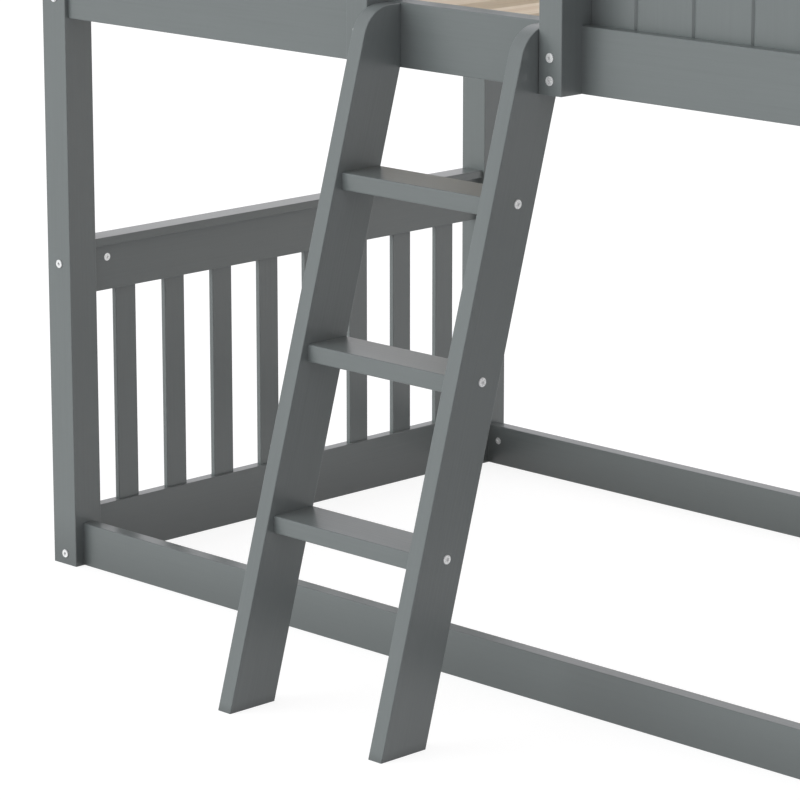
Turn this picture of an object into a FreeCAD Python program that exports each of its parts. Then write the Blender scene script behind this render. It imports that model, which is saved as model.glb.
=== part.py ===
"""Painted timber bunk bed with an angled ladder, in millimetres.

The bed is knock-down furniture: square corner posts, rails and end panels held by
through bolts, barrel nuts and dowels, an upper deck of slats screwed to ledgers, guard
rails round the upper bunk, and a three-tread ladder bolted to the upper front rail.
The lower bunk has no deck, so its mattress lies on the floor between the rails.

+X runs along the bed, +Y from its front to its back, +Z up.  The origin is on the
floor, under the middle of the whole object, ladder included.
"""
import FreeCAD, Part
import math
import os

Vector = FreeCAD.Vector

# ---------------------------------------------------------------- driving dimensions
BED_LENGTH = 2000.0         # over the corner posts
BED_WIDTH = 1052.0          # over the corner posts
LADDER_REACH = 352.0        # ladder foot to the front of the posts
POST = 57.0                 # corner posts are square
POST_HEIGHT = 1400.0
EASED = 1.5                 # radius on the long edges of the timber
POST_TOP_ROUND = 3.0

LOWER_RAIL_SETBACK = 17.5   # behind the outer face of the posts
LOWER_RAIL_THICKNESS = 25.0
LOWER_RAIL_HEIGHT = 73.5

UPPER_RAIL_SETBACK = 7.0
UPPER_RAIL_THICKNESS = 35.5
UPPER_RAIL_BOTTOM = 932.0
UPPER_RAIL_TOP = 1030.0

END_BOARD_SETBACK = 19.0    # end panel boards, from the outer face of the posts
END_BOARD_THICKNESS = 22.0
END_BOTTOM_BOARD_HEIGHT = 93.0
END_TOP_BOARD_BOTTOM = 463.5
END_TOP_BOARD_TOP = 541.5
GUARD_BOARD_BOTTOM = 1270.0
GUARD_BOARD_TOP = 1348.0
CAP_WIDTH = 45.0
CAP_THICKNESS = 14.0
FRONT_CAP_OVERHANG = 1.0    # of the front caps, in front of their boards

PANEL_SLAT_WIDTH = 44.5     # upright slats of the end panels and the guards
PANEL_SLAT_THICKNESS = 10.0
PANEL_SLAT_PITCH = 110.3
END_SLAT_COUNT = 8
BACK_SLAT_COUNT = 17
BACK_SLAT_PITCH = 107.2
TENON = 12.0                # depth of a slat in its mortise

DECK_SLAT_COUNT = 12        # bare pine slats that carry the upper mattress
DECK_SLAT_WIDTH = 81.0
DECK_SLAT_THICKNESS = 18.0
DECK_SLAT_PITCH = 152.0
DECK_SLAT_SHIFT = 25.5      # the row of slats lies this far right of the middle
DECK_SLAT_END_GAP = 1.5
LEDGER_THICKNESS = 25.0
LEDGER_BOTTOM = 940.0
LEDGER_TOP = 970.0
LEDGER_END_INSET = 90.0

GUARD_POST_WIDTH = 44.5
GUARD_POST_PROUD = 35.5     # in front of the corner posts
GUARD_POST_HOUSING = 27.0   # back of the guard posts and face of the panels, from the posts' front
ENTRY_WIDTH = 349.0         # clear gap between the guard posts
LADDER_CENTRE = 972.5       # from the left end of the bed

BEAD_PANEL_THICKNESS = 12.0
BEAD_GROOVE_PITCH = 107.0
BEAD_GROOVE_WIDTH = 7.5
BEAD_GROOVE_DEPTH = 2.8
BEAD_TONGUE = 6.0           # panel edge housed in the rail and in the corner post

LADDER_WIDTH = 347.0        # over the stringers
LADDER_LEAN = 16.0          # degrees from the vertical
STRINGER_THICKNESS = 27.5
STRINGER_FOOT = 91.0        # level cut on the floor
STRINGER_TOP = 1028.5
STRINGER_HEAD_RADIUS = 55.0
TREAD_COUNT = 3
TREAD_PITCH = 250.0
FIRST_TREAD_TOP = 288.2
TREAD_DEPTH = 82.0
TREAD_THICKNESS = 26.5
TREAD_ROUND = 2.0
TREAD_BOLT_RISE = 2.0       # of the tread bolt above the middle of the tread

BOLT_RADIUS = 3.75
BOLT_HOLE_RADIUS = 4.25
BOLT_HEAD_RADIUS = 7.0
BOLT_HEAD_HEIGHT = 2.0
BOLT_SOCKET_FLATS = 5.0
BOLT_SOCKET_DEPTH = 3.0
NUT_RADIUS = 6.5            # barrel nuts of the frame
NUT_LENGTH = 18.0
TREAD_NUT_RADIUS = 5.0
TREAD_NUT_LENGTH = 21.0
NUT_DIMPLE_RADIUS = 2.6
NUT_DIMPLE_DEPTH = 1.5
END_NUT_SETBACK = 38.0      # barrel nut from the end of a cross board
RAIL_NUT_SETBACK = 25.0     # barrel nut from the end of a rail
TREAD_NUT_SETBACK = 30.0
BOLT_PAST_NUT = 5.0
HOLE_PAST_BOLT = 1.0
INSERT_RADIUS = 6.0         # threaded inserts
INSERT_LENGTH = 20.0
INSERT_ENGAGEMENT = 18.0
DOWEL_RADIUS = 4.0
DOWEL_LENGTH = 40.0
CAP_DOWEL_RADIUS = 3.0
CAP_DOWEL_LENGTH = 18.0
SCREW_RADIUS = 2.0
SCREW_HEAD_RADIUS = 4.0
SCREW_HEAD_HEIGHT = 2.5
PANEL_SCREW_LENGTH = 30.0   # stops inside the boards in front of the panels
DECK_SCREW_LENGTH = 40.0    # for the ledgers and the deck slats

# heights of the fasteners above the floor
LOW_END_BOLT_Z = 18.6
LOW_END_DOWEL_Z = 66.0
MID_END_BOLT_Z = 519.5
MID_END_DOWEL_Z = 484.0
HIGH_END_BOLT_Z = 964.0
HIGH_END_DOWEL_Z = 1004.0
GUARD_END_BOLT_Z = 1309.0
GUARD_END_DOWEL_Z = 1286.0
LOWER_RAIL_BOLT_Z = 45.0
LOWER_RAIL_DOWEL_Z = 62.0
UPPER_RAIL_BOLTS_Z = (950.0, 1012.0)
UPPER_RAIL_DOWEL_Z = 981.0
GUARD_BOARD_BOLT_Z = 1325.0
GUARD_BOARD_DOWEL_Z = 1290.0
GUARD_POST_BOLTS_Z = (953.0, 986.0)
LADDER_BOLT_LOW_Z = 955.0
LADDER_BOLT_HIGH_Z = 1008.0
PANEL_SCREWS_Z = (1080.0, 1170.0, 1250.0)
PANEL_BOARD_SCREW_COUNT = 4
LEDGER_SCREW_GAPS = (-5, -3, -1, 1, 3, 5)  # gaps between slats, counted from the middle one

# ---------------------------------------------------------------- derived places
LEFT = -BED_LENGTH / 2
RIGHT = BED_LENGTH / 2
FRONT = (LADDER_REACH - BED_WIDTH - BOLT_HEAD_HEIGHT) / 2
BACK = FRONT + BED_WIDTH
MIDDLE_Y = (FRONT + BACK) / 2
END_BOARD_CENTRE = END_BOARD_SETBACK + END_BOARD_THICKNESS / 2
RAIL_INNER = UPPER_RAIL_SETBACK + UPPER_RAIL_THICKNESS
RAIL_BOLT_INSET = LOWER_RAIL_SETBACK + LOWER_RAIL_THICKNESS / 2
ENTRY_LEFT = LEFT + LADDER_CENTRE - ENTRY_WIDTH / 2
ENTRY_RIGHT = LEFT + LADDER_CENTRE + ENTRY_WIDTH / 2
PANEL_FACE = FRONT + GUARD_POST_HOUSING
PANEL_BACK = PANEL_FACE + BEAD_PANEL_THICKNESS
GUARD_BOARD_FRONT = PANEL_FACE - END_BOARD_THICKNESS
SLAT_TOP = LEDGER_TOP + DECK_SLAT_THICKNESS
LEAN = math.tan(math.radians(LADDER_LEAN))

solids = {}                 # node name -> list of solids
cuts = {}                   # node name -> list of tools to cut from it


# ---------------------------------------------------------------- small helpers
def box(x, y, z):
    """Block between two values on each axis, given in any order."""
    low = Vector(min(x), min(y), min(z))
    size = Vector(max(x), max(y), max(z)) - low
    return Part.makeBox(size.x, size.y, size.z, low)


def eased(shape, direction, radius=EASED):
    """Round the straight edges of a shape that run along one axis."""
    edges = []
    for edge in shape.Edges:
        run = edge.Vertexes[-1].Point - edge.Vertexes[0].Point
        if run.cross(direction).Length < 1e-6:
            edges.append(edge)
    return shape.makeFillet(radius, edges)


ALONG_X = Vector(1, 0, 0)
ALONG_Y = Vector(0, 1, 0)
ALONG_Z = Vector(0, 0, 1)


def rod(start, direction, radius, length):
    return Part.makeCylinder(radius, length, start, direction)


def add(node, *shapes):
    solids.setdefault(node, []).extend(shapes)


def cut(node, *tools):
    cuts.setdefault(node, []).extend(tools)


def across(side, inset):
    """X at a distance inside the outer face of the left or right posts."""
    return LEFT + inset if side == "left" else RIGHT - inset


def depth(row, inset):
    """Y at a distance inside the outer face of the front or back posts."""
    return FRONT + inset if row == "front" else BACK - inset


def inward_x(side):
    return Vector(1, 0, 0) if side == "left" else Vector(-1, 0, 0)


def inward_y(row):
    return Vector(0, 1, 0) if row == "front" else Vector(0, -1, 0)


def placed(shape, point, direction):
    """Copy of a shape built up +Z from the origin, turned to a point and a direction."""
    copy = shape.copy()
    copy.Placement = FreeCAD.Placement(point, FreeCAD.Rotation(ALONG_Z, direction))
    return copy


# ---------------------------------------------------------------- fasteners
def bolt_shape(length):
    """Connector bolt along +Z, its thin head below the origin, with a hexagon socket."""
    head = rod(Vector(0, 0, -BOLT_HEAD_HEIGHT), ALONG_Z, BOLT_HEAD_RADIUS, BOLT_HEAD_HEIGHT)
    rim = [edge for edge in head.Edges if edge.BoundBox.ZMax < -BOLT_HEAD_HEIGHT / 2]
    head = head.makeFillet(BOLT_HEAD_HEIGHT * 0.4, rim)
    shank = rod(Vector(0, 0, 0), ALONG_Z, BOLT_RADIUS, length)
    corner_radius = BOLT_SOCKET_FLATS / math.sqrt(3)
    corners = []
    for step in range(7):
        turn = math.radians(60 * step)
        corners.append(Vector(corner_radius * math.cos(turn), corner_radius * math.sin(turn),
                              -BOLT_HEAD_HEIGHT))
    socket = Part.Face(Part.makePolygon(corners)).extrude(ALONG_Z * BOLT_SOCKET_DEPTH)
    return head.fuse(shank).cut(socket).removeSplitter()


def nut_shape(radius, length, bolt_depth):
    """Barrel nut along +Z from its open end, cross-drilled for the bolt."""
    body = rod(Vector(0, 0, 0), ALONG_Z, radius, length)
    cross = rod(Vector(-2 * radius, 0, bolt_depth), ALONG_X, BOLT_RADIUS, 4 * radius)
    dimple = rod(Vector(0, 0, 0), ALONG_Z, NUT_DIMPLE_RADIUS, NUT_DIMPLE_DEPTH)
    return body.cut(cross).cut(dimple)


def screw_shape(length):
    """Countersunk wood screw along +Z, its flat head at the origin."""
    head = Part.makeCone(SCREW_HEAD_RADIUS, SCREW_RADIUS, SCREW_HEAD_HEIGHT)
    shank = rod(Vector(0, 0, 0), ALONG_Z, SCREW_RADIUS, length)
    return head.fuse(shank).removeSplitter()


def bolt(node, seat, direction, length, through):
    """Put a bolt in place and drill its hole in every piece that it passes."""
    add(node, placed(bolt_shape(length), seat, direction))
    for piece in through:
        cut(piece, rod(seat, direction, BOLT_HOLE_RADIUS, length + HOLE_PAST_BOLT))


def barrel_nut(node, host, mouth, direction, bolt_direction, radius, length, bolt_depth):
    """Put a barrel nut in a blind bore whose mouth is on one face of its host."""
    shape = nut_shape(radius, length, bolt_depth)
    side = direction.cross(bolt_direction)
    matrix = FreeCAD.Matrix(bolt_direction.x, side.x, direction.x, mouth.x,
                            bolt_direction.y, side.y, direction.y, mouth.y,
                            bolt_direction.z, side.z, direction.z, mouth.z,
                            0, 0, 0, 1)
    shape.Placement = FreeCAD.Placement(matrix)
    add(node, shape)
    cut(host, rod(mouth, direction, radius, length))


def bolted_end(post, board, seat, direction, post_depth, setback, face_offset, face_normal):
    """Bolt through a post into the end of a board, caught by a barrel nut.

    face_offset is how far the bolt runs inside the face that the nut's bore opens on.
    """
    length = post_depth + setback + BOLT_PAST_NUT
    bolt("frame_bolts", seat, direction, length, (post, board))
    mouth = seat + direction * (post_depth + setback) + face_normal * face_offset
    barrel_nut("barrel_nuts", board, mouth, face_normal * -1, direction,
               NUT_RADIUS, NUT_LENGTH, face_offset)


def dowel(node, middle, direction, radius, length, pieces):
    """Wooden dowel centred on a joint, in a bore of its own size."""
    start = middle - direction * (length / 2)
    add(node, rod(start, direction, radius, length))
    for piece in pieces:
        cut(piece, rod(start, direction, radius, length))


def screw(point, direction, length, pieces):
    """Put a wood screw in place, and cut its own shape from the pieces that it joins."""
    shape = placed(screw_shape(length), point, direction)
    add("wood_screws", shape)
    for piece in pieces:
        cut(piece, shape)


def insert(host, mouth, direction):
    """Threaded insert, flush in the face of its host."""
    body = rod(mouth, direction, INSERT_RADIUS, INSERT_LENGTH)
    add("threaded_inserts", body.cut(rod(mouth, direction, BOLT_RADIUS, INSERT_LENGTH)))
    cut(host, body)


# ---------------------------------------------------------------- frame
def corner_posts():
    for row in ("front", "back"):
        for side in ("left", "right"):
            blank = box((across(side, 0), across(side, POST)), (depth(row, 0), depth(row, POST)),
                        (0, POST_HEIGHT))
            post = eased(blank, ALONG_Z)
            rim = [edge for edge in post.Edges if edge.BoundBox.ZMin > POST_HEIGHT - 1e-6]
            add("corner_post_" + row + "_" + side, post.makeFillet(POST_TOP_ROUND - EASED, rim))


def side_rail(node, row, setback, thickness, z):
    y = (depth(row, setback), depth(row, setback + thickness))
    add(node, eased(box((LEFT + POST, RIGHT - POST), y, z), ALONG_X))


def rail_joint(node, row, side, bolt_inset, face_inset, bolts_z, dowel_z):
    """Join one end of a rail to its corner post with bolts and a dowel."""
    post = "corner_post_" + row + "_" + side
    for z in bolts_z:
        seat = Vector(across(side, 0), depth(row, bolt_inset), z)
        bolted_end(post, node, seat, inward_x(side), POST, RAIL_NUT_SETBACK,
                   face_inset - bolt_inset, inward_y(row))
    dowel("dowels", Vector(across(side, POST), depth(row, bolt_inset), dowel_z), ALONG_X,
          DOWEL_RADIUS, DOWEL_LENGTH, (post, node))


def rails():
    lower_inner = LOWER_RAIL_SETBACK + LOWER_RAIL_THICKNESS
    for row in ("front", "back"):
        lower = "lower_rail_" + row
        upper = "upper_rail_" + row
        side_rail(lower, row, LOWER_RAIL_SETBACK, LOWER_RAIL_THICKNESS, (0, LOWER_RAIL_HEIGHT))
        side_rail(upper, row, UPPER_RAIL_SETBACK, UPPER_RAIL_THICKNESS,
                  (UPPER_RAIL_BOTTOM, UPPER_RAIL_TOP))
        for side in ("left", "right"):
            rail_joint(lower, row, side, RAIL_BOLT_INSET, lower_inner,
                       (LOWER_RAIL_BOLT_Z,), LOWER_RAIL_DOWEL_Z)
            rail_joint(upper, row, side, RAIL_BOLT_INSET, RAIL_INNER,
                       UPPER_RAIL_BOLTS_Z, UPPER_RAIL_DOWEL_Z)


# ---------------------------------------------------------------- end panels and guards
def end_board(node, side, z, bolt_z, dowel_z):
    """Cross board between the two posts of one end, bolted to both."""
    x = (across(side, END_BOARD_SETBACK), across(side, END_BOARD_SETBACK + END_BOARD_THICKNESS))
    add(node, eased(box(x, (FRONT + POST, BACK - POST), z), ALONG_Y))
    for row in ("front", "back"):
        post = "corner_post_" + row + "_" + side
        seat = Vector(across(side, END_BOARD_CENTRE), depth(row, 0), bolt_z)
        bolted_end(post, node, seat, inward_y(row), POST, END_NUT_SETBACK,
                   END_BOARD_THICKNESS / 2, inward_x(side))
        dowel("dowels", Vector(across(side, END_BOARD_CENTRE), depth(row, POST), dowel_z), ALONG_Y,
              DOWEL_RADIUS, DOWEL_LENGTH, (post, node))


def end_cap(node, side, board, z):
    """Flat cap strip, centred on the posts, dowelled down onto its board."""
    x = (across(side, (POST - CAP_WIDTH) / 2), across(side, (POST + CAP_WIDTH) / 2))
    add(node, eased(box(x, (FRONT + POST, BACK - POST), (z, z + CAP_THICKNESS)), ALONG_Y))
    for y in (FRONT + 0.2 * BED_WIDTH, MIDDLE_Y, BACK - 0.2 * BED_WIDTH):
        dowel("cap_dowels", Vector(across(side, END_BOARD_CENTRE), y, z), ALONG_Z,
              CAP_DOWEL_RADIUS, CAP_DOWEL_LENGTH, (node, board))


def upright_slats(node, centres, direction, z, boards):
    """Row of upright slats, tenoned into the board below and the board above."""
    wide = PANEL_SLAT_WIDTH / 2
    thin = PANEL_SLAT_THICKNESS / 2
    for centre in centres:
        if direction == "y":
            x, y = (centre.x - thin, centre.x + thin), (centre.y - wide, centre.y + wide)
        else:
            x, y = (centre.x - wide, centre.x + wide), (centre.y - thin, centre.y + thin)
        blank = box(x, y, (z[0] - TENON, z[1] + TENON))
        add(node, eased(blank, ALONG_Z))
        for board in boards:
            cut(board, blank)


def end_panel(prefix, side, bottom_z, top_z, bottom_fix, top_fix):
    """Bottom board, upright slats, top board and cap of one end of one bunk."""
    bottom = prefix + "_bottom_board"
    top = prefix + "_top_board"
    end_board(bottom, side, bottom_z, *bottom_fix)
    end_board(top, side, top_z, *top_fix)
    first = MIDDLE_Y - PANEL_SLAT_PITCH * (END_SLAT_COUNT - 1) / 2
    centres = []
    for index in range(END_SLAT_COUNT):
        centres.append(Vector(across(side, END_BOARD_CENTRE), first + PANEL_SLAT_PITCH * index, 0))
    upright_slats(prefix + "_slats", centres, "y", (bottom_z[1], top_z[0]), (bottom, top))
    end_cap(prefix + "_cap", side, top, top_z[1])


def end_panels():
    for side in ("left", "right"):
        end_panel(side + "_end", side, (0, END_BOTTOM_BOARD_HEIGHT),
                  (END_TOP_BOARD_BOTTOM, END_TOP_BOARD_TOP),
                  (LOW_END_BOLT_Z, LOW_END_DOWEL_Z), (MID_END_BOLT_Z, MID_END_DOWEL_Z))
        end_panel(side + "_guard", side, (UPPER_RAIL_BOTTOM, UPPER_RAIL_TOP),
                  (GUARD_BOARD_BOTTOM, GUARD_BOARD_TOP),
                  (HIGH_END_BOLT_Z, HIGH_END_DOWEL_Z), (GUARD_END_BOLT_Z, GUARD_END_DOWEL_Z))


def back_guard():
    """Slatted guard along the back of the upper bunk."""
    board = "back_guard_board"
    y = (BACK - END_BOARD_SETBACK - END_BOARD_THICKNESS, BACK - END_BOARD_SETBACK)
    z = (GUARD_BOARD_BOTTOM, GUARD_BOARD_TOP)
    add(board, eased(box((LEFT + POST, RIGHT - POST), y, z), ALONG_X))
    for side in ("left", "right"):
        rail_joint(board, "back", side, END_BOARD_CENTRE, END_BOARD_SETBACK + END_BOARD_THICKNESS,
                   (GUARD_BOARD_BOLT_Z,), GUARD_BOARD_DOWEL_Z)
    centres = []
    for index in range(BACK_SLAT_COUNT):
        x = BACK_SLAT_PITCH * (index - (BACK_SLAT_COUNT - 1) / 2)
        centres.append(Vector(x, BACK - END_BOARD_CENTRE, 0))
    upright_slats("back_guard_slats", centres, "x", (UPPER_RAIL_TOP, GUARD_BOARD_BOTTOM),
                  ("upper_rail_back", board))
    cap_y = (BACK - (POST + CAP_WIDTH) / 2, BACK - (POST - CAP_WIDTH) / 2)
    cap_z = (GUARD_BOARD_TOP, GUARD_BOARD_TOP + CAP_THICKNESS)
    add("back_guard_cap", eased(box((LEFT + POST, RIGHT - POST), cap_y, cap_z), ALONG_X))
    for index in range(-2, 3):
        dowel("cap_dowels", Vector(index * 0.2 * BED_LENGTH, BACK - END_BOARD_CENTRE, GUARD_BOARD_TOP),
              ALONG_Z, CAP_DOWEL_RADIUS, CAP_DOWEL_LENGTH, ("back_guard_cap", board))


def guard_post(side, entry_x, outward):
    """Post beside the ladder, notched over the upper rail and bolted to it."""
    node = "guard_post_" + side
    far_x = entry_x + outward * GUARD_POST_WIDTH
    middle_x = (entry_x + far_x) / 2
    y = (FRONT - GUARD_POST_PROUD, FRONT + GUARD_POST_HOUSING)
    blank = eased(box((entry_x, far_x), y, (UPPER_RAIL_BOTTOM, POST_HEIGHT)), ALONG_Z)
    rim = [edge for edge in blank.Edges if edge.BoundBox.ZMin > POST_HEIGHT - 1e-6]
    blank = blank.makeFillet(POST_TOP_ROUND - EASED, rim)
    notch = box((entry_x, far_x), (FRONT + UPPER_RAIL_SETBACK, y[1]), (UPPER_RAIL_BOTTOM, UPPER_RAIL_TOP))
    add(node, blank.cut(notch))
    bolt_length = GUARD_POST_PROUD + UPPER_RAIL_SETBACK + INSERT_ENGAGEMENT
    for z in GUARD_POST_BOLTS_Z:
        seat = Vector(middle_x, FRONT - GUARD_POST_PROUD, z)
        bolt("guard_post_bolts", seat, ALONG_Y, bolt_length, (node,))
        insert("upper_rail_front", Vector(middle_x, FRONT + UPPER_RAIL_SETBACK, z), ALONG_Y)
    return middle_x, far_x


def front_guard(side, entry_x, outward):
    """Grooved panel, top board and cap between the ladder entry and one corner post."""
    guard = "guard_post_" + side
    corner = "corner_post_front_" + side
    panel = "front_panel_" + side
    board = "front_guard_board_" + side
    cap = "front_guard_cap_" + side
    middle_x, far_x = guard_post(side, entry_x, outward)
    corner_x = across(side, POST)

    panel_x = (entry_x, corner_x + outward * BEAD_TONGUE)
    blank = box(panel_x, (PANEL_FACE, PANEL_BACK), (UPPER_RAIL_TOP - BEAD_TONGUE, GUARD_BOARD_TOP))
    for housing in (corner, "upper_rail_front"):
        cut(housing, blank)
    groove_x = middle_x
    while min(panel_x) < groove_x < max(panel_x):
        corners = [Vector(groove_x - BEAD_GROOVE_WIDTH / 2, PANEL_FACE, 0),
                   Vector(groove_x + BEAD_GROOVE_WIDTH / 2, PANEL_FACE, 0),
                   Vector(groove_x, PANEL_FACE + BEAD_GROOVE_DEPTH, 0)]
        groove = Part.Face(Part.makePolygon(corners + corners[:1])).extrude(ALONG_Z * POST_HEIGHT)
        blank = blank.cut(groove)
        groove_x += outward * BEAD_GROOVE_PITCH
    add(panel, blank)

    add(board, eased(box((far_x, corner_x), (GUARD_BOARD_FRONT, PANEL_FACE),
                         (GUARD_BOARD_BOTTOM, GUARD_BOARD_TOP)), ALONG_X))
    board_y = (GUARD_BOARD_FRONT + PANEL_FACE) / 2
    seats = ((corner, across(side, 0), inward_x(side), POST),
             (guard, entry_x, inward_x(side) * -1, GUARD_POST_WIDTH))
    for post, seat_x, direction, thickness in seats:
        bolted_end(post, board, Vector(seat_x, board_y, GUARD_BOARD_BOLT_Z), direction, thickness,
                   RAIL_NUT_SETBACK, END_BOARD_THICKNESS / 2, ALONG_Y)
    for post, face_x in ((corner, corner_x), (guard, far_x)):
        dowel("dowels", Vector(face_x, board_y, GUARD_BOARD_DOWEL_Z), ALONG_X,
              DOWEL_RADIUS, DOWEL_LENGTH, (post, board))

    cap_front = GUARD_BOARD_FRONT - FRONT_CAP_OVERHANG
    cap_y = (cap_front, cap_front + CAP_WIDTH)
    add(cap, eased(box((far_x, corner_x), cap_y, (GUARD_BOARD_TOP, GUARD_BOARD_TOP + CAP_THICKNESS)),
                   ALONG_X))
    for share in (0.2, 0.5, 0.8):
        dowel("cap_dowels", Vector(far_x + share * (corner_x - far_x), board_y, GUARD_BOARD_TOP),
              ALONG_Z, CAP_DOWEL_RADIUS, CAP_DOWEL_LENGTH, (cap, board))

    for z in PANEL_SCREWS_Z:
        screw(Vector(middle_x, PANEL_BACK, z), ALONG_Y * -1, PANEL_SCREW_LENGTH, (panel, guard))
    for index in range(PANEL_BOARD_SCREW_COUNT):
        share = (index + 0.5) / PANEL_BOARD_SCREW_COUNT
        x = far_x + share * (corner_x - far_x)
        screw(Vector(x, PANEL_BACK, GUARD_END_BOLT_Z), ALONG_Y * -1, PANEL_SCREW_LENGTH,
              (panel, board))


# ---------------------------------------------------------------- upper deck
def upper_deck():
    """Ledgers screwed to the upper rails, and the bare slats that lie across them."""
    for row in ("front", "back"):
        ledger = "slat_ledger_" + row
        y = (depth(row, RAIL_INNER), depth(row, RAIL_INNER + LEDGER_THICKNESS))
        add(ledger, eased(box((LEFT + LEDGER_END_INSET, RIGHT - LEDGER_END_INSET), y,
                              (LEDGER_BOTTOM, LEDGER_TOP)), ALONG_X))
        middle_z = (LEDGER_BOTTOM + LEDGER_TOP) / 2
        for gap in LEDGER_SCREW_GAPS:
            place = Vector(DECK_SLAT_SHIFT + DECK_SLAT_PITCH * gap, y[1], middle_z)
            screw(place, inward_y(row) * -1, DECK_SCREW_LENGTH, (ledger, "upper_rail_" + row))
    slat_y = (FRONT + RAIL_INNER + DECK_SLAT_END_GAP, BACK - RAIL_INNER - DECK_SLAT_END_GAP)
    for index in range(DECK_SLAT_COUNT):
        x = DECK_SLAT_SHIFT + DECK_SLAT_PITCH * (index - (DECK_SLAT_COUNT - 1) / 2)
        slat = box((x - DECK_SLAT_WIDTH / 2, x + DECK_SLAT_WIDTH / 2), slat_y, (LEDGER_TOP, SLAT_TOP))
        add("deck_slats", eased(slat, ALONG_Y))
        for row in ("front", "back"):
            y = depth(row, RAIL_INNER + LEDGER_THICKNESS / 2)
            screw(Vector(x, y, SLAT_TOP), ALONG_Z * -1, DECK_SCREW_LENGTH,
                  ("deck_slats", "slat_ledger_" + row))


# ---------------------------------------------------------------- ladder
def stringer_profile(x):
    """Outline of a stringer at one X: level foot, leaning edges, plumb cut, round head."""
    foot_front = FRONT - LADDER_REACH
    foot_back = foot_front + STRINGER_FOOT
    rail_face = FRONT + UPPER_RAIL_SETBACK
    kink_z = (rail_face - foot_back) / LEAN
    corner_y = foot_front + LEAN * STRINGER_TOP
    lean_angle = math.radians(LADDER_LEAN)
    tangent = STRINGER_HEAD_RADIUS * math.tan((math.pi / 2 - lean_angle) / 2)
    centre = Vector(x, corner_y + tangent, STRINGER_TOP - STRINGER_HEAD_RADIUS)
    crown = Vector(x, corner_y + tangent, STRINGER_TOP)
    brow = centre + Vector(0, -math.cos(lean_angle), math.sin(lean_angle)) * STRINGER_HEAD_RADIUS
    half_turn = (math.pi / 2 + lean_angle) / 2
    shoulder = centre + Vector(0, -math.sin(half_turn), math.cos(half_turn)) * STRINGER_HEAD_RADIUS
    points = [brow, Vector(x, foot_front, 0), Vector(x, foot_back, 0),
              Vector(x, rail_face, kink_z), Vector(x, rail_face, STRINGER_TOP), crown]
    edges = []
    for start, end in zip(points, points[1:]):
        edges.append(Part.LineSegment(start, end).toShape())
    edges.append(Part.Arc(crown, shoulder, brow).toShape())
    return Part.Face(Part.Wire(edges))


def stringer(side, x, outer_x):
    """One stringer, its long edges eased, bolted to the upper rail from inside the bed."""
    node = "ladder_stringer_" + side
    blank = stringer_profile(x).extrude(ALONG_X * STRINGER_THICKNESS)
    long_edges = []
    for edge in blank.Edges:
        spread = edge.BoundBox
        if spread.XLength < 1e-6 and spread.ZLength > 1.0:
            long_edges.append(edge)
    add(node, blank.makeFillet(EASED, long_edges))
    middle_x = x + STRINGER_THICKNESS / 2
    rail_face = FRONT + UPPER_RAIL_SETBACK
    rail_back = FRONT + RAIL_INNER
    ledger_back = rail_back + LEDGER_THICKNESS
    fixings = ((LADDER_BOLT_HIGH_Z, rail_back, ("upper_rail_front",)),
               (LADDER_BOLT_LOW_Z, ledger_back, ("upper_rail_front", "slat_ledger_front")))
    for z, seat_y, through in fixings:
        length = seat_y - rail_face + INSERT_ENGAGEMENT
        bolt("ladder_bolts", Vector(middle_x, seat_y, z), ALONG_Y * -1, length, through)
        insert(node, Vector(middle_x, rail_face, z), ALONG_Y * -1)
    return node, outer_x


def ladder():
    left_x = LEFT + LADDER_CENTRE - LADDER_WIDTH / 2
    right_x = LEFT + LADDER_CENTRE + LADDER_WIDTH / 2
    sides = ((stringer("left", left_x, left_x), 1),
             (stringer("right", right_x - STRINGER_THICKNESS, right_x), -1))
    tread_x = (left_x + STRINGER_THICKNESS, right_x - STRINGER_THICKNESS)
    for index in range(TREAD_COUNT):
        tread = "ladder_tread_" + str(index + 1)
        top = FIRST_TREAD_TOP + TREAD_PITCH * index
        back_y = FRONT - LADDER_REACH + STRINGER_FOOT + LEAN * top
        y = (back_y - TREAD_DEPTH, back_y)
        add(tread, eased(box(tread_x, y, (top - TREAD_THICKNESS, top)), ALONG_X, TREAD_ROUND))
        middle_y = back_y - TREAD_DEPTH / 2
        middle_z = top - TREAD_THICKNESS / 2
        for (side_node, outer_x), inward in sides:
            direction = ALONG_X * inward
            seat = Vector(outer_x, middle_y, middle_z + TREAD_BOLT_RISE)
            reach = STRINGER_THICKNESS + TREAD_NUT_SETBACK
            bolt("tread_bolts", seat, direction, reach + BOLT_PAST_NUT, (side_node, tread))
            mouth = Vector(outer_x + inward * reach, middle_y, top - TREAD_THICKNESS)
            barrel_nut("tread_nuts", tread, mouth, ALONG_Z, direction, TREAD_NUT_RADIUS,
                       TREAD_NUT_LENGTH, TREAD_THICKNESS / 2 + TREAD_BOLT_RISE)
            for offset in (-TREAD_DEPTH / 3, TREAD_DEPTH / 3):
                face = Vector(outer_x + inward * STRINGER_THICKNESS, middle_y + offset, middle_z)
                dowel("dowels", face, ALONG_X, DOWEL_RADIUS, DOWEL_LENGTH, (side_node, tread))


# ---------------------------------------------------------------- build and export
corner_posts()
rails()
end_panels()
back_guard()
front_guard("left", ENTRY_LEFT, -1)
front_guard("right", ENTRY_RIGHT, 1)
upper_deck()
ladder()

os.makedirs("parts", exist_ok=True)
for name, pieces in solids.items():
    finished = []
    for piece in pieces:
        tools = [tool for tool in cuts.get(name, []) if tool.BoundBox.intersect(piece.BoundBox)]
        if tools:
            piece = piece.cut(tools)
        finished.extend(piece.Solids)
    shape = finished[0] if len(finished) == 1 else Part.makeCompound(finished)
    shape.exportStep("parts/" + name + ".step")
    print(name, len(finished), round(shape.Volume / 1e6, 3), "litres", shape.isValid())
print(len(solids), "nodes")
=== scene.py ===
"""The bunk bed with ladder: finishes, floor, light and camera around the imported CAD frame."""

import math

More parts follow.
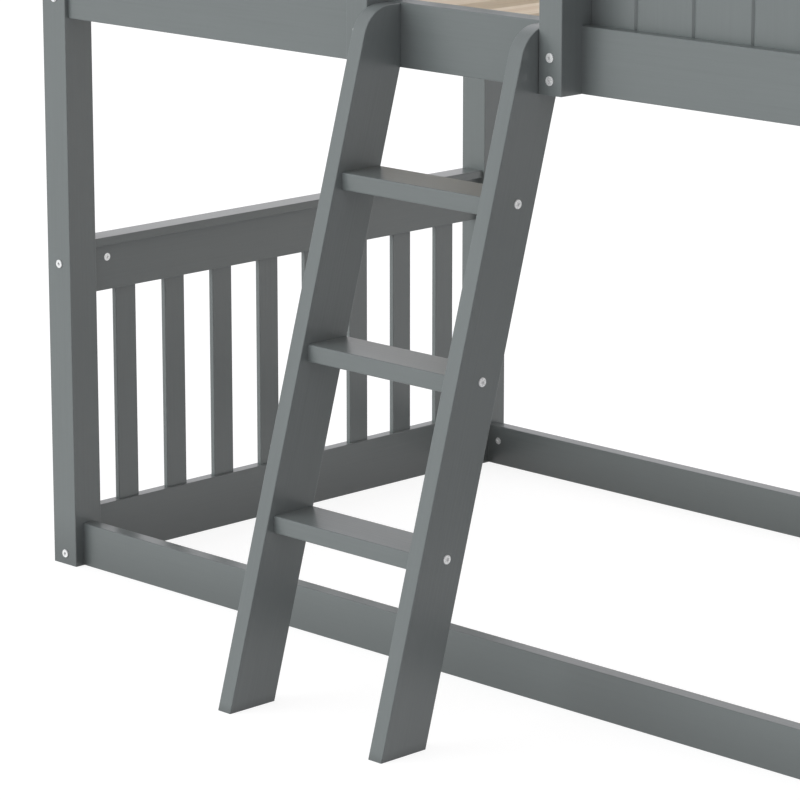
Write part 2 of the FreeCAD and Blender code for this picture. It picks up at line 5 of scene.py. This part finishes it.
import bpy
from mathutils import Matrix, Vector


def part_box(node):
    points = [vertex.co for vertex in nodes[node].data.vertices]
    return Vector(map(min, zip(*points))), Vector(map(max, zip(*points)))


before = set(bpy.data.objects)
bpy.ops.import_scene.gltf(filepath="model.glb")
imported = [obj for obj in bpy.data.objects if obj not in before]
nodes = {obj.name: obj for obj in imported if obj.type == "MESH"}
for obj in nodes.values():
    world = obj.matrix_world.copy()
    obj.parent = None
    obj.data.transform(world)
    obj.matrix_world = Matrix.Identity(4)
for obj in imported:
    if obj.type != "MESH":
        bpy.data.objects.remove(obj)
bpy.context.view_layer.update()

# ---------------------------------------------------------------- places taken from the frame
front_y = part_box("corner_post_front_left")[0].y
rail_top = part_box("upper_rail_front")[1].z

# ---------------------------------------------------------------- camera
CAMERA_AZIMUTH = 45.0
CAMERA_ELEVATION = 13.5
CAMERA_DISTANCE = 5.76
CAMERA_LENS = 169.9
CAMERA_AIM_X = -0.168
CAMERA_AIM_HEIGHT = 0.41    # share of the upper rail's height
CAMERA_AIM = Vector((CAMERA_AIM_X, front_y, CAMERA_AIM_HEIGHT * rail_top))

# ---------------------------------------------------------------- light
WORLD_COLOUR = (1.02, 1.0, 1.03)
WORLD_STRENGTH = 0.80
WORLD_BRIGHTER_SIDE = Vector((-0.28, 0.28, 0.0))
FRONT_AZIMUTH = -34.0
FRONT_ELEVATION = 10.0
FRONT_COLOUR = (0.93, 1.0, 0.98)
FRONT_STRENGTH = 2.30
FRONT_ANGLE = 58.0

# ---------------------------------------------------------------- floor
FLOOR_HALF_SIZE = 60.0
FLOOR_PATCH = 0.8
FLOOR_GLOW = 0.85
FLOOR_COLOUR = 0.25
BOUNCE_COLOUR = 0.65
BOUNCE_DEPTH = 0.001

# ---------------------------------------------------------------- wood, in metres
LADDER_LEAN = 16.0
ALONG_X = (1.0, 0.0, 0.0)
ALONG_Y = (0.0, 1.0, 0.0)
ALONG_Z = (0.0, 0.0, 1.0)
ALONG_STRINGER = (0.0, math.sin(math.radians(LADDER_LEAN)), math.cos(math.radians(LADDER_LEAN)))
GRAIN_SHIFT = 0.11          # between one piece's grain and the next piece's
GRAIN_SHIFT_AXES = (1.0, 0.7, 1.3)
PAINT_COLOUR = (0.156, 0.173, 0.173)
PAINT_BROAD = (0.60, 0.12)  # patterns: their length along the grain and their width across it
PAINT_STREAKS = (0.12, 0.0040)
PAINT_STRANDS = (0.30, 0.0030)
STREAK_RELIEF = 0.00018
STRAND_RELIEF = 0.00004
EDGE_HIGHLIGHT_RADIUS = 0.002
LADDER_FLOOR_SHADE = 0.015        # height of the painted contact shade at the floor
BED_FLOOR_SHADE = 0.10
PINE_WANDER = (0.50, 0.05)
PINE_RINGS = (0.90, 0.010)
PINE_LINES = (0.25, 0.0022)
PINE_PORES = (0.020, 0.0006)
LINE_RELIEF = 0.00015
PORE_RELIEF = 0.00008
DOWEL_TONE = (0.02, 0.003)
DOWEL_FLECKS = (0.003, 0.0005)
FLECK_RELIEF = 0.00005

# ---------------------------------------------------------------- steel, in metres
SPANGLE_SIZE = 0.0016
BRUSH_MARKS = (0.004, 0.0002)
BRUSH_RELIEF = 0.00001
STEEL_EDGE_RADIUS = 0.0006


class Shader:
    """A small helper that adds nodes to one material and wires them."""

    def __init__(self, name):
        self.material = bpy.data.materials.new(name)
        self.material.use_nodes = True
        self.tree = self.material.node_tree
        self.surface = self.tree.nodes["Principled BSDF"]

    def add(self, kind, settings=None, **inputs):
        """A new node, with its settings, and its inputs set to numbers or wired to sockets."""
        made = self.tree.nodes.new("ShaderNode" + kind)
        for name, value in (settings or {}).items():
            setattr(made, name, value)
        for name, value in inputs.items():
            self.feed(made.inputs[name.replace("_", " ")], value)
        return made

    def feed(self, socket, value):
        """Sets a socket to a number or a colour, or wires another node's output to it."""
        if isinstance(value, bpy.types.NodeSocket):
            self.tree.links.new(value, socket)
        else:
            socket.default_value = value

    def maths(self, operation, first, second):
        """The output of one Math node."""
        made = self.add("Math", {"operation": operation})
        self.feed(made.inputs[0], first)
        self.feed(made.inputs[1], second)
        return made.outputs[0]

    def ramp(self, value, low, high, to_low=0.0, to_high=1.0):
        """A value remapped from one range to another, and held at its ends."""
        made = self.add("MapRange", {"interpolation_type": "SMOOTHSTEP"}, Value=value)
        made.inputs["From Min"].default_value = low
        made.inputs["From Max"].default_value = high
        made.inputs["To Min"].default_value = to_low
        made.inputs["To Max"].default_value = to_high
        return made.outputs["Result"]

    def mix(self, amount, first, second):
        """The first colour turned into the second by an amount."""
        made = self.add("Mix", {"data_type": "RGBA"})
        self.feed(made.inputs["Factor"], amount)
        self.feed(made.inputs[6], first)
        self.feed(made.inputs[7], second)
        return made.outputs[2]

    def set(self, **inputs):
        """Numbers, colours and wires on the surface shader's own sockets."""
        for name, value in inputs.items():
            self.feed(self.surface.inputs[name.replace("_", " ")], value)

    def along(self, direction, pattern, shift=0.0):
        """Object coordinates in a pattern's lengths along the grain and its widths across it."""
        length, width = pattern
        where = self.add("TexCoord").outputs["Object"]
        turn = Vector(direction).to_track_quat("X", "Z").to_euler()
        made = self.add("Mapping", {"vector_type": "TEXTURE"}, Vector=where)
        made.inputs["Location"].default_value = shift * Vector(GRAIN_SHIFT_AXES)
        made.inputs["Rotation"].default_value = turn
        made.inputs["Scale"].default_value = (length, width, width)
        return made.outputs["Vector"]

    def noise(self, vector, detail, roughness=0.5, distortion=0.0):
        """A noise field of one cell per unit of the given coordinates."""
        made = self.add("TexNoise", Vector=vector, Scale=1.0, Detail=detail)
        made.inputs["Roughness"].default_value = roughness
        made.inputs["Distortion"].default_value = distortion
        return made.outputs["Fac"]

    def edge(self, radius):
        """How near a surface point is to a sharp edge: 0 on a flat, up to 1 on the edge."""
        rounded = self.add("Bevel", {"samples": 4}, Radius=radius).outputs["Normal"]
        flat = self.add("NewGeometry").outputs["Normal"]
        alike = self.add("VectorMath", {"operation": "DOT_PRODUCT"})
        self.feed(alike.inputs[0], rounded)
        self.feed(alike.inputs[1], flat)
        return self.ramp(alike.outputs["Value"], 1.0, 0.75)

    def bump(self, height, distance, under=None):
        """A bumped normal, added to the one under it."""
        made = self.add("Bump", Height=height, Distance=distance, Strength=1.0)
        if under is not None:
            self.feed(made.inputs["Normal"], under)
        return made.outputs["Normal"]


def paint(tone):
    """The paint's colour, lighter or darker by a factor."""
    return tuple(tone * part for part in PAINT_COLOUR) + (1.0,)


def painted_wood(name, direction, shift):
    """Satin grey paint on planed pine: faint grain, a painted edge highlight, painted shade at the
    floor.
    """
    shader = Shader(name)
    broad = shader.noise(shader.along(direction, PAINT_BROAD, shift), 2.0)
    streaks = shader.noise(shader.along(direction, PAINT_STREAKS, shift), 3.0)
    strands = shader.noise(shader.along(direction, PAINT_STRANDS, shift), 0.0)
    broad_share = shader.maths("MULTIPLY", broad, 0.6)
    streak_share = shader.maths("MULTIPLY", streaks, 0.4)
    tone = shader.maths("ADD", broad_share, streak_share)
    colour = shader.mix(shader.ramp(tone, 0.32, 0.68), paint(0.975), paint(1.025))
    colour = shader.mix(shader.ramp(strands, 0.55, 0.80, 0.0, 0.25), colour, paint(0.90))
    height = shader.add("SeparateXYZ", Vector=shader.add("TexCoord").outputs["Object"]).outputs["Z"]
    # Painted contact shade: the paint turns darker towards the floor and fades out at the reach
    # height.
    reach = LADDER_FLOOR_SHADE if direction == ALONG_STRINGER else BED_FLOOR_SHADE
    colour = shader.mix(shader.ramp(height, 0.0, reach, 0.8, 0.0), colour, paint(0.71))
    # Painted highlight: edges mixed a quarter of the way towards a lighter paint.
    colour = shader.mix(shader.maths("MULTIPLY", shader.edge(EDGE_HIGHLIGHT_RADIUS), 0.25), colour, paint(1.35))
    normal = shader.bump(streaks, STREAK_RELIEF)
    normal = shader.bump(strands, STRAND_RELIEF, normal)
    shader.set(Base_Color=colour, Normal=normal, IOR=1.5)
    shader.set(Roughness=shader.ramp(broad, 0.3, 0.7, 0.28, 0.32))
    return shader.material


def bare_pine(name, direction, shift):
    """Planed pine without finish: pale early wood, darker late wood lines, and pores."""
    shader = Shader(name)
    wander = shader.noise(shader.along(direction, PINE_WANDER, shift), 2.0)
    rings = shader.noise(shader.along(direction, PINE_RINGS, shift), 3.0, 0.55, 0.4)
    lines = shader.noise(shader.along(direction, PINE_LINES, shift), 3.0, 0.6)
    pores = shader.noise(shader.along(direction, PINE_PORES, shift), 2.0)
    pale = (0.90, 0.78, 0.61, 1.0)
    warm = (0.84, 0.70, 0.52, 1.0)
    late = (0.64, 0.48, 0.32, 1.0)
    colour = shader.mix(shader.ramp(wander, 0.35, 0.7), pale, warm)
    colour = shader.mix(shader.ramp(rings, 0.50, 0.72, 0.0, 0.45), colour, late)
    colour = shader.mix(shader.ramp(lines, 0.52, 0.75, 0.0, 0.30), colour, late)
    normal = shader.bump(lines, LINE_RELIEF)
    normal = shader.bump(pores, PORE_RELIEF, normal)
    shader.set(Base_Color=colour, Normal=normal, Specular_IOR_Level=0.3)
    shader.set(Roughness=shader.ramp(rings, 0.3, 0.7, 0.62, 0.72))
    return shader.material


def zinc_steel(name):
    """Zinc plated steel, faintly spangled and brushed, brighter on its edges."""
    shader = Shader(name)
    spangle = shader.noise(shader.along(ALONG_Z, (SPANGLE_SIZE, SPANGLE_SIZE)), 2.0)
    brushed = shader.noise(shader.along(ALONG_X, BRUSH_MARKS), 2.0)
    dull = (0.80, 0.81, 0.82, 1.0)
    bright = (0.88, 0.88, 0.87, 1.0)
    lighter_edge = (0.93, 0.93, 0.92, 1.0)
    colour = shader.mix(spangle, dull, bright)
    # The colour is lighter on the edges.
    colour = shader.mix(shader.maths("MULTIPLY", shader.edge(STEEL_EDGE_RADIUS), 0.5), colour, lighter_edge)
    normal = shader.bump(brushed, BRUSH_RELIEF)
    shader.set(Base_Color=colour, Normal=normal, Metallic=0.5)
    shader.set(Roughness=shader.ramp(spangle, 0.3, 0.7, 0.26, 0.36))
    return shader.material


def dowel_wood(name):
    """Beech: pinkish tan with short dark flecks."""
    shader = Shader(name)
    flecks = shader.noise(shader.along(ALONG_X, DOWEL_FLECKS), 2.0, 0.6)
    tone = shader.noise(shader.along(ALONG_X, DOWEL_TONE), 2.0)
    light = (0.58, 0.42, 0.28, 1.0)
    tan = (0.50, 0.34, 0.21, 1.0)
    dark = (0.30, 0.18, 0.10, 1.0)
    colour = shader.mix(tone, light, tan)
    colour = shader.mix(shader.ramp(flecks, 0.6, 0.75, 0.0, 0.6), colour, dark)
    shader.set(Base_Color=colour, Normal=shader.bump(flecks, FLECK_RELIEF), Roughness=0.65)
    return shader.material


def grain_of(name):
    """The direction of a wooden piece's length."""
    if name.startswith("ladder_stringer"):
        return ALONG_STRINGER
    if name == "deck_slats":
        return ALONG_Y
    if "post" in name or "slats" in name or "panel" in name:
        return ALONG_Z
    if name.startswith(("left", "right")):
        return ALONG_Y
    return ALONG_X


def finish_nodes():
    """Gives every CAD node the finish of its slot, with the grain along its own length."""
    shared = {"zinc_steel": zinc_steel("zinc_steel"), "dowel_wood": dowel_wood("dowel_wood")}
    wooden = {"painted_wood": painted_wood, "bare_pine": bare_pine}
    for count, name in enumerate(sorted(nodes)):
        node = nodes[name]
        kind = node.material_slots[0].material.name.split(".")[0]
        if kind in wooden:
            material = wooden[kind](f"{kind}_{name}", grain_of(name), GRAIN_SHIFT * count)
        else:
            material = shared[kind]
        for place in node.material_slots:
            place.material = material


def plane(name, half, height):
    """A square sheet lying flat at a height."""
    corners = [(-half, -half), (half, -half), (half, half), (-half, half)]
    mesh = bpy.data.meshes.new(name)
    mesh.from_pydata([(x, y, height) for x, y in corners], [], [(0, 1, 2, 3)])
    made = bpy.data.objects.new(name, mesh)
    bpy.context.scene.collection.objects.link(made)
    return made


def make_floor():
    """A pale floor that the camera sees, and one just under it that returns soft light."""
    floor = plane("floor", FLOOR_HALF_SIZE, 0.0)
    shader = Shader("floor")
    patch = shader.noise(shader.along(ALONG_X, (FLOOR_PATCH, FLOOR_PATCH)), 2.0)
    shader.set(Base_Color=(FLOOR_COLOUR, FLOOR_COLOUR, FLOOR_COLOUR, 1.0), Specular_IOR_Level=0.0)
    shader.set(Roughness=shader.ramp(patch, 0.3, 0.7, 0.85, 0.95))
    shader.set(Emission_Color=(1.0, 1.0, 1.0, 1.0), Emission_Strength=FLOOR_GLOW)
    floor.data.materials.append(shader.material)
    floor.visible_diffuse = False
    floor.visible_shadow = False
    below = plane("floor_bounce", FLOOR_HALF_SIZE, -BOUNCE_DEPTH)
    shader = Shader("floor_bounce")
    shader.set(Base_Color=(BOUNCE_COLOUR, BOUNCE_COLOUR, BOUNCE_COLOUR, 1.0), Roughness=0.9)
    shader.set(Specular_IOR_Level=0.0)
    below.data.materials.append(shader.material)
    below.visible_camera = False
    below.visible_glossy = False


def compass(azimuth, elevation):
    """The direction towards a point in the sky: azimuth 0 is in front, 90 is on the right."""
    around = math.radians(azimuth)
    up = math.radians(elevation)
    return Vector((math.sin(around) * math.cos(up), -math.cos(around) * math.cos(up), math.sin(up)))


def sun(name, towards, colour, strength, angle):
    """A far light in a direction, as wide in the sky as its angle."""
    data = bpy.data.lights.new(name, "SUN")
    data.color = colour
    data.energy = strength
    data.angle = math.radians(angle)
    made = bpy.data.objects.new(name, data)
    made.rotation_euler = towards.to_track_quat("Z", "Y").to_euler()
    made.visible_glossy = False
    bpy.context.scene.collection.objects.link(made)


def make_light():
    """White surroundings, brighter at the back left, and a broad soft light at the front left."""
    world = bpy.data.worlds.new("studio")
    world.use_nodes = True
    background = world.node_tree.nodes["Background"]
    background.inputs["Color"].default_value = WORLD_COLOUR + (1.0,)
    around = world.node_tree.nodes.new("ShaderNodeTexCoord")
    side = world.node_tree.nodes.new("ShaderNodeVectorMath")
    side.operation = "DOT_PRODUCT"
    side.inputs[1].default_value = WORLD_BRIGHTER_SIDE
    level = world.node_tree.nodes.new("ShaderNodeMath")
    level.operation = "MULTIPLY_ADD"
    level.inputs[1].default_value = WORLD_STRENGTH
    level.inputs[2].default_value = WORLD_STRENGTH
    world.node_tree.links.new(around.outputs["Generated"], side.inputs[0])
    world.node_tree.links.new(side.outputs["Value"], level.inputs[0])
    world.node_tree.links.new(level.outputs["Value"], background.inputs["Strength"])
    bpy.context.scene.world = world
    towards = compass(FRONT_AZIMUTH, FRONT_ELEVATION)
    sun("front", towards, FRONT_COLOUR, FRONT_STRENGTH, FRONT_ANGLE)


def make_camera():
    """A long lens at the front right, a little above the upper rail."""
    back = compass(CAMERA_AZIMUTH, CAMERA_ELEVATION)
    data = bpy.data.cameras.new("camera")
    data.lens = CAMERA_LENS
    data.clip_end = 4 * FLOOR_HALF_SIZE
    made = bpy.data.objects.new("camera", data)
    turn = (-back).to_track_quat("-Z", "Y").to_matrix().to_4x4()
    made.matrix_world = Matrix.Translation(CAMERA_AIM + back * CAMERA_DISTANCE) @ turn
    bpy.context.scene.collection.objects.link(made)
    bpy.context.scene.camera = made


finish_nodes()
make_floor()
make_light()
make_camera()
bpy.context.scene.view_settings.view_transform = "Standard"
